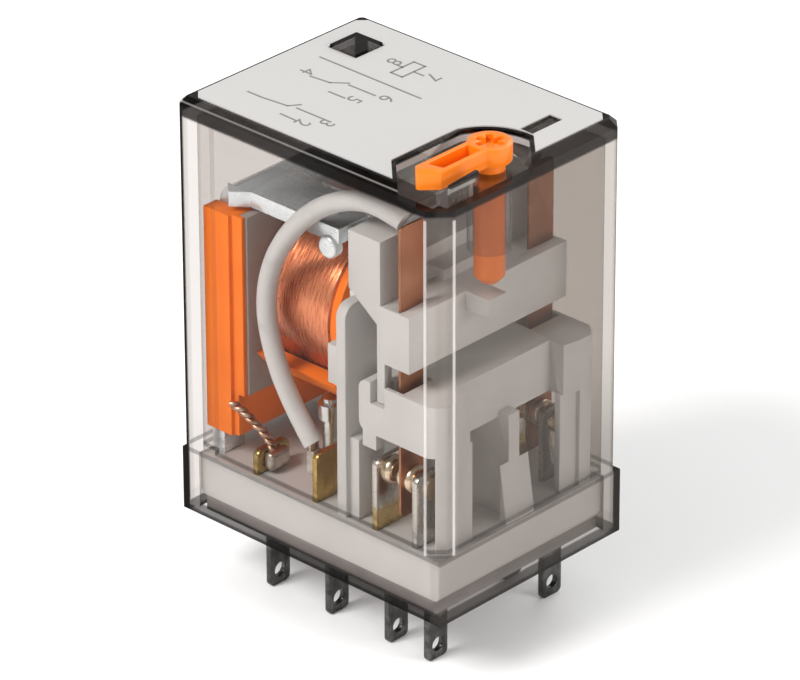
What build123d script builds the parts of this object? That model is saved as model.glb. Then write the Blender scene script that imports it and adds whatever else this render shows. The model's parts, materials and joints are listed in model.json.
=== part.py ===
from build123d import *
import math
import os

# Plug-in relay, two change-over contacts, eight blade pins. Millimetres, +Z up.
# Origin: centre of the cover's lower rim (the seating plane, z = 0); the blades hang below it.
# +X points to the contact and test-lever end, -X to the coil yoke's leg. The two poles lie at -Y and +Y.
POLES = {"1": -1, "2": 1}

# ---- case ----
CASE_L = 27.7            # length along X
CASE_W = 20.7            # width along Y
CASE_H = 36.1            # seating plane to flat top
WALL = 0.9
TOP_WALL = 1.9
SKIRT_H = 5.5            # the full-corner skirt round the base
TOP_BEVEL = 0.6
CORNER_CUT = {"front": 1.6, "right": 0.9, "back": 0.6, "left": 0.45}
PAD_W = 1.8              # clear pads inside the cover at its -X corners
PAD_T = 0.5
RECESS_DEPTH = 1.0       # open corner pocket for the test lever
RECESS_X = 7.5           # pocket's reach from the +X face
RECESS_DIAG = 3.2        # its 45 degree flanks
RECESS_HEAD_R = 4.4      # its round end about the lever's axis
WINDOW = (2.8, 3.0, 0.35)          # raised indicator window
WINDOW_FROM_CORNER = (4.2, 5.0)    # its centre, from the -X and the +Y face
SLOT = (1.1, 3.2, 0.5)             # small vent pocket beside the lever pocket
SLOT_FROM_CORNER = (3.7, 5.45)     # its centre, from the +X and the +Y face
LABEL_T = 0.1
LABEL_INSET = 0.9
LABEL_GAP = 0.35
LABEL_CORNER = 0.7

# ---- fits ----
BASE_FIT = 0.1           # base in the cover, each side
SLIDE_FIT = 0.05         # running clearance of the post and the lever
PLATE_FIT = 0.03         # a blade or leaf in its slot

# ---- base ----
BASE_TOP = 4.9
BASE_BOTTOM = 1.3
BASE_ROUND = 0.6
SEAL_BOTTOM = 0.0       # flush with the cover's lower rim
ANCHOR = 1.6             # how deep plates are sunk in the base

# ---- blade terminals ----
BLADE_W = 2.2
BLADE_T = 0.5
BLADE_OUT = 5.8          # reach below the seating plane
BLADE_ROW = 13.2         # pitch across Y
EYE_D = 1.2
EYE_UP = 1.25            # eye's centre above the tip
NC_FROM_WALL = 3.05      # normally closed plate, from the inner +X wall
PITCH_NC_NO = 4.2
PITCH_NO_COM = 6.4
COIL_PIN_FROM_WALL = 5.8     # from the inner -X wall
PLATE_WALL_GAP = 0.45    # inner plate's outer edge to the cover's wall
PLATE_IN_Y = 5.4         # inner plate's inner edge
FIXED_TOP = 11.0
COM_TOP = 9.1
COIL_PIN_TOP = 7.0

# ---- contacts ----
CONTACT_Z = 9.7
RIVET_R = 1.2
SHANK_R = 0.55
RIVET_BACK = 0.25
CONTACT_GAP = 0.5        # open gap at the normally open side
CLOSED_GAP = 0.03        # rest clearance at the normally closed side
HEAD_NO = 0.8            # moving rivet's head, open side
HEAD_NC = 0.7            # moving rivet's head, closed side
DOME_NO = 0.7            # fixed rivet's head, open side

# ---- moving springs ----
LEAF_T = 0.2
LEAF_W = 2.8
LEAF_FOOT = 3.0          # leaf's tip below the contact's centre
LEAF_RISE = 4.4          # leaf's top above the hinge line

# ---- magnet ----
YOKE_T = 1.3
YOKE_W = 14.0
YOKE_BEND = 2.0
YOKE_LEG_GAP = 0.35      # leg to the inner -X wall
YOKE_UNDER_TOP = 7.9     # yoke's upper face below the case top
FOOT_W = 2.2
FOOT_OUT = 8.2
COIL_R = 7.0             # winding, outside
COIL_TOP_GAP = 0.9       # winding to yoke
TUBE_R = 2.9             # bobbin tube, outside
CORE_R = 2.35
CORE_SHANK_R = 1.5
RING_IN, RING_OUT, RING_T = 1.3, 1.9, 0.6
ARM_FROM_WALL = 12.65    # armature's magnet face, from the inner +X wall
ARM_T = 1.2
ARM_W = 12.0
ARM_GAP = 0.3            # pole face to armature at rest
FLANGE_T = 0.75
FLANGE_GAP = 0.35        # right flange behind the pole face
HINGE_DROP = 1.0         # hinge line below the yoke's upper face

# ---- bobbin ----
BLOCK_X = (0.15, 3.35)   # end block, from the inner -X wall
BLOCK_Y = 8.6
BLOCK_Z = 7.1
FILM_T = 0.8             # grey insulating plate beside the block
PLATE_HALF = 7.85        # the plate's half width, inside the block's rim
RIM_H = 0.6              # rim's height beside the plate
RIM_STEP = 0.35          # rim's step in from the block's side
SADDLE_T = 1.4           # saddle under the winding
SADDLE_H = 2.4           # saddle's top above the winding's underside
RIVET_Y = 4.2            # support rivets, from the middle

# ---- card and contact block ----
CARD_Y = 8.9
CARD_BLOCK_Y = 5.2
BAR_BELOW_HINGE = (2.7, 7.5)
CARD_UP = 2.7            # upper block's top above the hinge line
TONGUE_T = 0.8
BRIDGE_Z = (13.4, 17.8)
BRIDGE_Y = 9.2
BRIDGE_X = (8.65, 2.05)  # from the inner +X wall
SLOT_DEPTH = 1.8         # tongue slot in the bridge
COLUMN_REACH = 1.7       # columns' outer face beyond the bridge
BARRIER_T = 1.0
BARRIER_H = 18.4         # above the base

# ---- test lever ----
LEVER_FROM = (3.05, 8.75)    # axis, from the +X and the -Y face
POST_R = 1.22
POST_ABOVE_CARD = 1.0    # post's end above the card's bar
HEAD_R = 1.75
LEVER_T = 1.5
LEVER_LIFT = 0.75        # lever's underside above the pocket's floor
PUSH_TRAVEL = 0.7
ARM_REACH = 7.6          # axis to the arm's tip
ARM_WIDTH = 2.2
BOSS_R = 0.8
BOSS_H = 0.7
SLEEVE_T = 0.45
SLEEVE_L = 5.8           # sleeve below the cover's ceiling

# ---- flexible leads ----
LEAD_D = 1.6
LEAD_ROUTE = [(-1.5, -8.25, 9.5), (-3.4, -8.3, 11.8), (-5.4, -8.3, 15.2), (-6.5, -8.3, 19.2),
              (-6.0, -8.3, 23.2), (-4.0, -8.3, 26.9), (-1.1, -8.25, 30.0), (2.2, -8.1, 31.9),
              (5.0, -7.7, 32.3), (7.2, -7.25, 31.4)]
WIRE_D = 0.5
WIRE_ROUTE = [(-9.8, -8.95, 10.3), (-8.9, -8.85, 10.1), (-8.0, -8.5, 9.3), (-7.2, -8.0, 8.3),
              (-6.65, -7.6, 7.3), (-6.55, -7.4, 6.2)]

# ---- places worked out from the sizes above ----
IN_X, IN_Y = CASE_L / 2 - WALL, CASE_W / 2 - WALL
CEILING = CASE_H - TOP_WALL
POCKET_Z = CASE_H - RECESS_DEPTH
X_NC = IN_X - NC_FROM_WALL
X_NO = X_NC - PITCH_NC_NO
X_COM = X_NO - PITCH_NO_COM
X_COIL = -IN_X + COIL_PIN_FROM_WALL
PLATE_OUT_Y = IN_Y - PLATE_WALL_GAP
Y_CONTACT = (PLATE_IN_Y + PLATE_OUT_Y) / 2
LEAF_X = X_NO + BLADE_T / 2 + DOME_NO + CONTACT_GAP + HEAD_NO
DOME_NC = X_NC - BLADE_T / 2 - CLOSED_GAP - HEAD_NC - LEAF_T - LEAF_X
YOKE_TOP = CASE_H - YOKE_UNDER_TOP
YOKE_LEFT = -IN_X + YOKE_LEG_GAP
HINGE_Z = YOKE_TOP - HINGE_DROP
ARM_X = IN_X - ARM_FROM_WALL
POLE_X = ARM_X - ARM_GAP
COIL_Z = YOKE_TOP - YOKE_T - COIL_TOP_GAP - COIL_R
BLOCK_L, BLOCK_R = -IN_X + BLOCK_X[0], -IN_X + BLOCK_X[1]
BLOCK_TOP = YOKE_TOP - YOKE_T - 0.5
FLANGE_R = POLE_X - FLANGE_GAP
FLANGE_L = FLANGE_R - FLANGE_T
BAR_TOP, BAR_LOW = HINGE_Z - BAR_BELOW_HINGE[0], HINGE_Z - BAR_BELOW_HINGE[1]
CARD_TOP = HINGE_Z + CARD_UP
POST_END_Z = BAR_TOP + POST_ABOVE_CARD
SLEEVE_END = CEILING - SLEEVE_L
BRIDGE_L, BRIDGE_R = IN_X - BRIDGE_X[0], IN_X - BRIDGE_X[1]
BARRIER_X = ARM_X + ARM_T + 0.4
LEVER_X, LEVER_Y = CASE_L / 2 - LEVER_FROM[0], -CASE_W / 2 + LEVER_FROM[1]
LEVER_Z = POCKET_Z + LEVER_LIFT
WINDOW_X, WINDOW_Y = -CASE_L / 2 + WINDOW_FROM_CORNER[0], CASE_W / 2 - WINDOW_FROM_CORNER[1]
SLOT_X, SLOT_Y = CASE_L / 2 - SLOT_FROM_CORNER[0], CASE_W / 2 - SLOT_FROM_CORNER[1]


def block(x0, x1, y0, y1, z0, z1):
    """A box between two corners."""
    centre = ((x0 + x1) / 2, (y0 + y1) / 2, (z0 + z1) / 2)
    return Pos(*centre) * Box(abs(x1 - x0), abs(y1 - y0), abs(z1 - z0))


def side_block(side, x0, x1, y0, y1, z0, z1):
    """A box given at +Y, placed on the pole's side."""
    return block(x0, x1, side * y0, side * y1, z0, z1)


def rod_x(x0, x1, y, z, r):
    """A round bar along X."""
    return Pos((x0 + x1) / 2, y, z) * Rot(0, 90, 0) * Cylinder(r, x1 - x0)


def rod_z(x, y, z0, z1, r):
    """A round bar along Z."""
    return Pos(x, y, (z0 + z1) / 2) * Cylinder(r, z1 - z0)


def prism_z(points, z0, z1):
    """A plan outline raised from z0 to z1."""
    return Pos(0, 0, z0) * extrude(make_face(Polyline(*points, close=True)), z1 - z0)


def prism_y(points, y0, y1):
    """An outline in X and Z carried from y0 to y1."""
    outline = make_face(Polyline(*[(x, y0, z) for x, z in points], close=True))
    return extrude(outline, amount=y1 - y0, dir=(0, 1, 0))


def case_outline(shrink, flank):
    """The case's plan with its four cut corners, moved in by shrink; flank is the cuts' own inset."""
    x, y = CASE_L / 2 - shrink, CASE_W / 2 - shrink
    cut = {name: max(size + (flank * math.sqrt(2) - 2 * shrink), 0.05) for name, size in CORNER_CUT.items()}
    f, r, b, l = cut["front"], cut["right"], cut["back"], cut["left"]
    return [(x - f, -y), (x, -y + f), (x, y - r), (x - r, y),
            (-x + b, y), (-x, y - b), (-x, -y + l), (-x + l, -y)]


def pocket_face(grow):
    """Plan of the test lever's corner pocket, grown outwards by grow."""
    left = CASE_L / 2 - RECESS_X
    edge_x, edge_y = CASE_L / 2 + 3, -CASE_W / 2 - 3
    flank_y = -CASE_W / 2 + RECESS_DIAG
    head_top = LEVER_Y + RECESS_HEAD_R
    knee = left + RECESS_HEAD_R * 0.32
    shoulder = (LEVER_X, head_top)
    reach = head_top - (CASE_L / 2 - shoulder[0])
    path = [Line((left + RECESS_DIAG + 3, edge_y), (left, flank_y)),
            Line((left, flank_y), (left, LEVER_Y + 1.5)),
            ThreePointArc((left, LEVER_Y + 1.5), (knee, head_top - RECESS_HEAD_R * 0.22), shoulder),
            Line(shoulder, (CASE_L / 2, reach)),
            Polyline((CASE_L / 2, reach), (edge_x, reach), (edge_x, edge_y), (left + RECESS_DIAG + 3, edge_y))]
    face = make_face(Curve() + path)
    return offset(face, amount=grow) if grow else face


def cover():
    """Clear case: cut-corner body over a square-cornered skirt, lever pocket, window, post sleeve."""
    body = prism_z(case_outline(0, 0), 0, CASE_H)
    body = chamfer(body.faces().sort_by(Axis.Z)[-1].edges(), TOP_BEVEL)
    body += block(-CASE_L / 2, CASE_L / 2, -CASE_W / 2, CASE_W / 2, 0, SKIRT_H)
    body -= block(-IN_X, IN_X, -IN_Y, IN_Y, -1, BASE_TOP)
    body -= prism_z(case_outline(WALL, WALL), BASE_TOP - 1, CEILING)
    for side in POLES.values():
        body += side_block(side, -IN_X, -IN_X + PAD_W, IN_Y - PAD_T, IN_Y, BASE_TOP, CEILING)
    window_x, window_y, window_h = WINDOW
    body += block(WINDOW_X - window_x / 2, WINDOW_X + window_x / 2,
                  WINDOW_Y - window_y / 2, WINDOW_Y + window_y / 2, CASE_H - 0.2, CASE_H + window_h)
    body -= Pos(0, 0, POCKET_Z) * extrude(pocket_face(0), RECESS_DEPTH + 2)
    slot_x, slot_y, slot_depth = SLOT
    body -= block(SLOT_X - slot_x / 2, SLOT_X + slot_x / 2,
                  SLOT_Y - slot_y / 2, SLOT_Y + slot_y / 2, CASE_H - slot_depth, CASE_H + 1)
    bore = POST_R + SLIDE_FIT
    body += rod_z(LEVER_X, LEVER_Y, SLEEVE_END, CEILING + 0.2, bore + SLEEVE_T)
    body -= rod_z(LEVER_X, LEVER_Y, SLEEVE_END - 1, CASE_H, bore)
    return body


def label():
    """Marking sheet on the flat top, cut round the pocket, the window and the vent."""
    x, y, c = CASE_L / 2 - LABEL_INSET, CASE_W / 2 - LABEL_INSET, LABEL_CORNER
    points = [(-x + c, -y), (x, -y), (x, y - c), (x - c, y), (-x + c, y), (-x, y - c), (-x, -y + c)]
    sheet = prism_z(points, CASE_H, CASE_H + LABEL_T)
    sheet -= Pos(0, 0, CASE_H - 1) * extrude(pocket_face(LABEL_GAP), 2)
    gap = LABEL_GAP / 3
    for place, size in (((WINDOW_X, WINDOW_Y), WINDOW), ((SLOT_X, SLOT_Y), SLOT)):
        half_x, half_y = size[0] / 2 + gap, size[1] / 2 + gap
        sheet -= block(place[0] - half_x, place[0] + half_x, place[1] - half_y, place[1] + half_y,
                       CASE_H - 1, CASE_H + 1)
    return sheet


def plate_x(kind):
    """X of a terminal plate's middle."""
    return {"coil": X_COIL, "com": X_COM, "no": X_NO, "nc": X_NC}[kind]


def terminal_solid(kind, side, top, fit=0.0):
    """One stamped terminal: wide inner plate, narrow blade, round eye near the tip."""
    x, half = plate_x(kind), BLADE_T / 2 + fit
    y = BLADE_ROW / 2
    sunk = BASE_TOP - ANCHOR
    plate = side_block(side, x - half, x + half, PLATE_IN_Y - fit, PLATE_OUT_Y + fit, sunk - fit, top)
    blade = side_block(side, x - half, x + half, y - BLADE_W / 2 - fit, y + BLADE_W / 2 + fit,
                       -BLADE_OUT, sunk)
    if fit:
        return plate + blade
    tip = [e for e in blade.edges().filter_by(Axis.X) if e.center().Z < -BLADE_OUT + 0.1]
    blade = fillet(tip, 0.45)
    crown = [e for e in plate.edges().filter_by(Axis.X) if e.center().Z > top - 0.1]
    plate = fillet(crown, 0.6)
    body = plate + blade
    body -= rod_x(x - 1, x + 1, side * y, -BLADE_OUT + EYE_UP, EYE_D / 2)
    if kind in ("no", "nc"):
        body -= rod_x(x - 1, x + 1, side * Y_CONTACT, CONTACT_Z, SHANK_R)
    return body


TERMINAL_TOP = {"coil": COIL_PIN_TOP, "com": COM_TOP, "no": FIXED_TOP, "nc": FIXED_TOP}


def foot(side, fit=0.0):
    """The yoke leg's foot that stands in the base."""
    return side_block(side, YOKE_LEFT - fit, YOKE_LEFT + YOKE_T + fit, FOOT_OUT - FOOT_W - fit,
                      FOOT_OUT + fit, BASE_TOP - ANCHOR - fit, BLOCK_Z - 0.1)


def base():
    """Grey base moulding with a slot for every plate and foot."""
    x, y = IN_X - BASE_FIT, IN_Y - BASE_FIT
    body = block(-x, x, -y, y, BASE_BOTTOM, BASE_TOP)
    body = fillet([e for e in body.edges().filter_by(Axis.Y) if e.center().Z < BASE_TOP - 1], BASE_ROUND)
    for side in POLES.values():
        for kind, top in TERMINAL_TOP.items():
            body -= terminal_solid(kind, side, top, PLATE_FIT)
        body -= foot(side, PLATE_FIT)
    return body


def base_seal():
    """Dark potting under the base, poured round the blades."""
    x, y = IN_X - BASE_FIT - BASE_ROUND, IN_Y - BASE_FIT
    body = block(-x, x, -y, y, SEAL_BOTTOM, BASE_BOTTOM)
    for side in POLES.values():
        for kind, top in TERMINAL_TOP.items():
            body -= terminal_solid(kind, side, top, PLATE_FIT)
    return body


def yoke():
    """Bent steel frame: top plate, leg at -X, two feet in the base, bearing ears at the hinge end."""
    w = YOKE_W / 2
    outer = [(YOKE_LEFT, BLOCK_Z), (YOKE_LEFT, YOKE_TOP), (POLE_X + 0.2, YOKE_TOP),
             (POLE_X + 0.2, YOKE_TOP - YOKE_T), (YOKE_LEFT + YOKE_T, YOKE_TOP - YOKE_T), (YOKE_LEFT + YOKE_T, BLOCK_Z)]
    body = prism_y(outer, -w, w)
    bends = [e for e in body.edges().filter_by(Axis.Y)
             if abs(e.center().X - YOKE_LEFT) < 0.01 and abs(e.center().Z - YOKE_TOP) < 0.01]
    body = fillet(bends, YOKE_BEND)
    body += block(YOKE_LEFT, YOKE_LEFT + YOKE_T, -FOOT_OUT, FOOT_OUT, BLOCK_Z - 1.0, BLOCK_Z - 0.1)
    body += block(YOKE_LEFT, YOKE_LEFT + YOKE_T, -w, w, BLOCK_Z - 0.5, BLOCK_Z + 0.1)
    body -= rod_x(YOKE_LEFT - 1, YOKE_LEFT + YOKE_T + 1, 0, COIL_Z, CORE_SHANK_R)
    for side in POLES.values():
        body += foot(side)
        ear = [(YOKE_LEFT + 0.9, side * w), (YOKE_LEFT + 2.1, side * (w + 1.1)), (YOKE_LEFT + 3.4, side * w)]
        body += prism_z(ear, YOKE_TOP - YOKE_T, YOKE_TOP)
        nub = Pos(POLE_X - 0.75, side * (w - 0.1), YOKE_TOP - 1.75) * Rot(90, 0, 0) * Cylinder(0.95, 1.0)
        body += fillet(nub.edges(), 0.25)
    return body


def core():
    """Soft iron core riveted into the leg, with a groove for the shading ring in its pole face."""
    body = rod_x(YOKE_LEFT + YOKE_T, POLE_X, 0, COIL_Z, CORE_R)
    body += rod_x(YOKE_LEFT - 0.2, YOKE_LEFT + YOKE_T + 0.1, 0, COIL_Z, CORE_SHANK_R)
    return body - shading_ring()


def shading_ring():
    """Copper ring let into the pole face."""
    ring = rod_x(POLE_X - RING_T, POLE_X, 0, COIL_Z, RING_OUT)
    return ring - rod_x(POLE_X - 2, POLE_X + 1, 0, COIL_Z, RING_IN)


def bobbin():
    """Orange coil former: end block with two proud posts, plate rim, tube, round flange, saddle."""
    body = block(YOKE_LEFT + YOKE_T + 0.05, BLOCK_R, -BLOCK_Y, BLOCK_Y, BLOCK_Z, BLOCK_TOP)
    plate_low = COIL_Z - COIL_R - 1.2
    for side in POLES.values():
        body += side_block(side, BLOCK_L, BLOCK_R - 0.5, YOKE_W / 2 + 0.1, BLOCK_Y, BLOCK_Z, BLOCK_TOP)
        body -= side_block(side, BLOCK_R - 0.5, BLOCK_R + 1, BLOCK_Y - RIM_STEP, BLOCK_Y + 1, 0, BLOCK_TOP + 1)
        body += side_block(side, BLOCK_R - 0.1, BLOCK_R + RIM_H, PLATE_HALF + PLATE_FIT, BLOCK_Y - RIM_STEP,
                           plate_low, BLOCK_TOP)
    body += rod_x(BLOCK_R, FLANGE_R, 0, COIL_Z, TUBE_R)
    body += rod_x(FLANGE_L, FLANGE_R, 0, COIL_Z, COIL_R - 0.3)
    low, high = COIL_Z - COIL_R - SADDLE_T, COIL_Z - COIL_R + SADDLE_H
    saddle = rod_x(BLOCK_R + FILM_T, FLANGE_R, 0, COIL_Z, COIL_R + SADDLE_T)
    saddle -= rod_x(BLOCK_R, FLANGE_R + 1, 0, COIL_Z, COIL_R + 0.1)
    body += saddle & block(BLOCK_R, FLANGE_R + 1, -BLOCK_Y, BLOCK_Y, low - 1, high)
    body += block(FLANGE_L, FLANGE_R, -2.0, 2.0, low + 0.3, COIL_Z - TUBE_R)
    return body - rod_x(BLOCK_L - 3, POLE_X + 1, 0, COIL_Z, CORE_R + 0.05)


def insulating_plate():
    """Grey plate between the end block and the winding, inside the block's rim."""
    body = block(BLOCK_R, BLOCK_R + FILM_T, -PLATE_HALF, PLATE_HALF, COIL_Z - COIL_R - 1.2, BLOCK_TOP)
    return body - rod_x(BLOCK_R - 1, BLOCK_R + 2, 0, COIL_Z, TUBE_R)


def coil_winding():
    """The copper winding as one ring of its outer size."""
    body = rod_x(BLOCK_R + FILM_T, FLANGE_L, 0, COIL_Z, COIL_R)
    return body - rod_x(BLOCK_R, FLANGE_R, 0, COIL_Z, TUBE_R)


def armature():
    """Flat steel armature hung at the yoke's end."""
    low, high = COIL_Z - COIL_R + 0.2, YOKE_TOP - 0.1
    body = block(ARM_X, ARM_X + ARM_T, -ARM_W / 2, ARM_W / 2, low, high)
    return fillet([e for e in body.edges().filter_by(Axis.X) if e.center().Z < COIL_Z], 1.5)


def return_spring():
    """Leaf on the yoke, hooked over the armature's top edge."""
    half, t, hook_x = 2.2, 0.2, ARM_X + ARM_T + 0.05
    body = block(ARM_X - 6.5, hook_x + t, -half, half, YOKE_TOP, YOKE_TOP + t)
    body += block(hook_x, hook_x + t, -half, half, YOKE_TOP - 0.7, YOKE_TOP + t)
    return body


def card():
    """Moving carrier: two pole blocks, a cross bar that holds the leaves, guide tongues, web."""
    left, bar_left, bar_right = ARM_X + ARM_T + 1.5, LEAF_X - 2.0, LEAF_X + 1.35
    tongue_low = BRIDGE_Z[1] - SLOT_DEPTH + 0.2
    head = [(left, CARD_TOP), (left + 3.3, CARD_TOP), (left + 3.3, BAR_TOP - 0.1), (bar_left + 0.6, BAR_LOW),
            (bar_left, BAR_LOW), (bar_left, HINGE_Z - 4.4), (left, HINGE_Z - 2.2)]
    body = block(bar_left, bar_right, -CARD_Y, CARD_Y, BAR_LOW, BAR_TOP)
    for side in POLES.values():
        body += prism_y(head, side * CARD_BLOCK_Y, side * CARD_Y)
        body += side_block(side, bar_left, bar_left + TONGUE_T, CARD_Y - 0.8, CARD_Y, tongue_low, BAR_LOW + 0.1)
        body -= leaf_slot(side, PLATE_FIT)
    body += block(ARM_X + ARM_T, left + 2.0, -CARD_BLOCK_Y - 0.1, CARD_BLOCK_Y + 0.1, HINGE_Z - 2.2, HINGE_Z - 0.6)
    body += block(left, bar_left + 1.0, -2.5, 2.5, HINGE_Z - 3.6, HINGE_Z - 1.8)
    body += block(bar_right, LEVER_X + 0.9, LEVER_Y - 1.0, LEVER_Y + 1.0, BAR_TOP - 1.6, BAR_TOP)
    return body


def leaf_slot(side, fit):
    """Space for a leaf where it passes through the card."""
    return side_block(side, LEAF_X - fit, LEAF_X + LEAF_T + fit, Y_CONTACT - LEAF_W / 2 - fit,
                      Y_CONTACT + LEAF_W / 2 + fit, BAR_LOW - 1, BAR_TOP + 1)


def moving_spring(side):
    """Copper-alloy leaf from the flexible lead down to the moving contact."""
    low, high = CONTACT_Z - LEAF_FOOT, HINGE_Z + LEAF_RISE
    leaf = side_block(side, LEAF_X, LEAF_X + LEAF_T, Y_CONTACT - LEAF_W / 2, Y_CONTACT + LEAF_W / 2, low, high)
    leaf = fillet(leaf.edges().filter_by(Axis.X), 0.5)
    return leaf - rod_x(LEAF_X - 1, LEAF_X + 1, side * Y_CONTACT, CONTACT_Z, SHANK_R)


def dome(x, direction, side, height):
    """A rivet head with a rounded rim that stands from x along +X or -X."""
    head = rod_x(min(x, x + direction * height), max(x, x + direction * height), side * Y_CONTACT, CONTACT_Z, RIVET_R)
    rim = [e for e in head.edges().filter_by(GeomType.CIRCLE) if abs(e.center().X - x) > height / 2]
    return fillet(rim, height * 0.7)


def moving_contact(side):
    """Double-headed silver rivet in the leaf."""
    shank = rod_x(LEAF_X, LEAF_X + LEAF_T, side * Y_CONTACT, CONTACT_Z, SHANK_R)
    return shank + dome(LEAF_X, -1, side, HEAD_NO) + dome(LEAF_X + LEAF_T, 1, side, HEAD_NC)


def fixed_contact(kind, side):
    """Contact rivet in a fixed plate; its dome faces the moving contact."""
    direction = 1 if kind == "no" else -1
    height = DOME_NO if kind == "no" else DOME_NC
    x, y = plate_x(kind), side * Y_CONTACT
    back = x - direction * BLADE_T / 2
    rivet = rod_x(x - BLADE_T / 2, x + BLADE_T / 2, y, CONTACT_Z, SHANK_R)
    rivet += dome(x + direction * BLADE_T / 2, direction, side, height)
    return rivet + rod_x(min(back, back - direction * RIVET_BACK), max(back, back - direction * RIVET_BACK),
                         y, CONTACT_Z, RIVET_R * 0.8)


def contact_block():
    """Grey bridge over the contacts on two corner columns and a centre wall."""
    low, high = BRIDGE_Z
    bar = block(BRIDGE_L, BRIDGE_R, -BRIDGE_Y, BRIDGE_Y, low, high)
    bar = fillet([e for e in bar.edges().filter_by(Axis.Y) if e.center().X < BRIDGE_L + 0.1], 0.8)
    column_x = BRIDGE_R + COLUMN_REACH
    for side in POLES.values():
        bar -= side_block(side, LEAF_X - 1.1, LEAF_X + LEAF_T + 0.5, Y_CONTACT - LEAF_W / 2 - 0.25,
                          Y_CONTACT + LEAF_W / 2 + 0.25, low - 1, high + 1)
        bar -= side_block(side, LEAF_X - 2.45, LEAF_X - 0.95, CARD_Y - 1.05, BRIDGE_Y + 1,
                          high - SLOT_DEPTH, high + 1)
        y = BRIDGE_Y
        cap = [(BRIDGE_R - 0.3, side * (y - 3.9)), (column_x - 0.3, side * (y - 3.9)), (column_x, side * (y - 2.4)),
               (column_x, side * (y - 1.0)), (column_x - 0.6, side * (y - 0.4)), (BRIDGE_R + 0.5, side * y),
               (BRIDGE_R - 0.3, side * y)]
        bar += prism_z(cap, low, high)
        column = [(column_x - 0.7, side * (y - 2.3)), (column_x, side * (y - 2.3)), (column_x, side * (y - 1.0)),
                  (column_x - 0.6, side * (y - 0.4)), (column_x - 0.7, side * (y - 0.4))]
        bar += prism_z(column, BASE_TOP, low + 0.1)
        bar += side_block(side, column_x - 0.9, column_x - 0.35, y - 4.2, y - 2.2, BASE_TOP, low + 0.1)
        bar += side_block(side, BRIDGE_L + 0.4, BRIDGE_L + 1.8, y - 0.8, y, low - 1.3, low + 0.1)
    bar += block(BRIDGE_L - 0.9, column_x - 0.6, -0.6, 0.6, BASE_TOP, low + 0.5)
    bar += prism_y([(column_x - 0.6, BASE_TOP), (column_x + 0.1, BASE_TOP), (column_x - 0.6, BASE_TOP + 5)], -1.6, 1.6)
    return bar


def barrier_wall():
    """Grey wall between the coil and the contacts, with a locating tab at each edge."""
    high = BASE_TOP + BARRIER_H
    body = block(BARRIER_X, BARRIER_X + BARRIER_T, -BRIDGE_Y, BRIDGE_Y, BASE_TOP, high)
    body = fillet([e for e in body.edges().filter_by(Axis.X) if e.center().Z > high - 0.1], 1.2)
    for side in POLES.values():
        body += side_block(side, BARRIER_X - 0.9, BARRIER_X, BRIDGE_Y - 1.7, BRIDGE_Y, 16.2, 19.6)
        body += side_block(side, BARRIER_X + BARRIER_T, BARRIER_X + 1.9, BRIDGE_Y - 3.5, BRIDGE_Y - 0.5,
                           BASE_TOP, BASE_TOP + 7)
    return body


def indicator_flag():
    """Bright flag on the moving card that reaches under the window."""
    root_x = ARM_X + ARM_T + 2.0
    end_x = WINDOW_X - WINDOW[0] / 2
    arm_y0, arm_y1 = WINDOW_Y - 0.6, WINDOW_Y + 0.9
    high = CEILING - 0.75
    body = block(root_x, root_x + 1.0, arm_y0, arm_y1, CARD_TOP, high)
    body += block(end_x + 0.5, root_x + 1.0, arm_y0, arm_y1, high - 0.5, high)
    body += block(end_x, end_x + WINDOW[0], WINDOW_Y - WINDOW[1] / 2, WINDOW_Y + WINDOW[1] / 2, high - 0.3, high + 0.2)
    return body


def test_post():
    """Orange push post in its sleeve, with a cone over the card and a boss for the lever."""
    body = rod_z(LEVER_X, LEVER_Y, POST_END_Z + 0.6, LEVER_Z, POST_R)
    body += Pos(LEVER_X, LEVER_Y, POST_END_Z + 0.3) * Cone(POST_R * 0.55, POST_R, 0.6)
    return body + rod_z(LEVER_X, LEVER_Y, LEVER_Z, LEVER_Z + BOSS_H, BOSS_R)


def test_lever():
    """Orange lever: round head with a star socket and a hollow arm, cut at 45 degrees at its tip."""
    tip_y, half = LEVER_Y - ARM_REACH, ARM_WIDTH / 2
    x = LEVER_X - 0.1
    arm = [(x - half, LEVER_Y), (x - half, tip_y + 0.7), (x - half + 0.7, tip_y), (x - 0.1, tip_y),
           (x + half, tip_y + half + 0.1), (x + half, LEVER_Y)]
    body = prism_z(arm, LEVER_Z, LEVER_Z + LEVER_T)
    body += rod_z(LEVER_X, LEVER_Y, LEVER_Z, LEVER_Z + LEVER_T, HEAD_R)
    hollow = [(x - half + 0.45, LEVER_Y - HEAD_R + 0.1), (x - half + 0.45, tip_y + 1.6),
              (x + half - 0.45, tip_y + 1.9), (x + half - 0.45, LEVER_Y - HEAD_R + 0.1)]
    body -= prism_z(hollow, LEVER_Z + 0.5, LEVER_Z + LEVER_T + 1)
    body -= rod_z(LEVER_X, LEVER_Y, LEVER_Z - 1, LEVER_Z + BOSS_H + SLIDE_FIT, BOSS_R + SLIDE_FIT)
    for turn in (0, 60, 120):
        spoke = Pos(LEVER_X, LEVER_Y, LEVER_Z + LEVER_T) * Rot(0, 0, turn + 15) * Box(2.3, 0.55, 1.0)
        body -= spoke
    return body


def corner_radii(points):
    """The largest arcs that the runs between the route's points allow."""
    radii = []
    for a, b, c in zip(points, points[1:], points[2:]):
        first, second = Vector(*b) - Vector(*a), Vector(*c) - Vector(*b)
        half_turn = math.radians(first.get_angle(second)) / 2
        radii.append(0.45 * min(first.length, second.length) / math.tan(half_turn))
    return radii


def tube(route, diameter, side):
    """A round lead along straight runs joined by tangent arcs, mirrored to the pole's side."""
    points = [(x, -side * y, z) for x, y, z in route]
    radii = corner_radii(points)
    print("arc radii", [round(r, 2) for r in radii])
    path = FilletPolyline(*points, radius=radii)
    start = Plane(origin=path @ 0, z_dir=path % 0)
    return sweep(start * Circle(diameter / 2), path=path)


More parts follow.
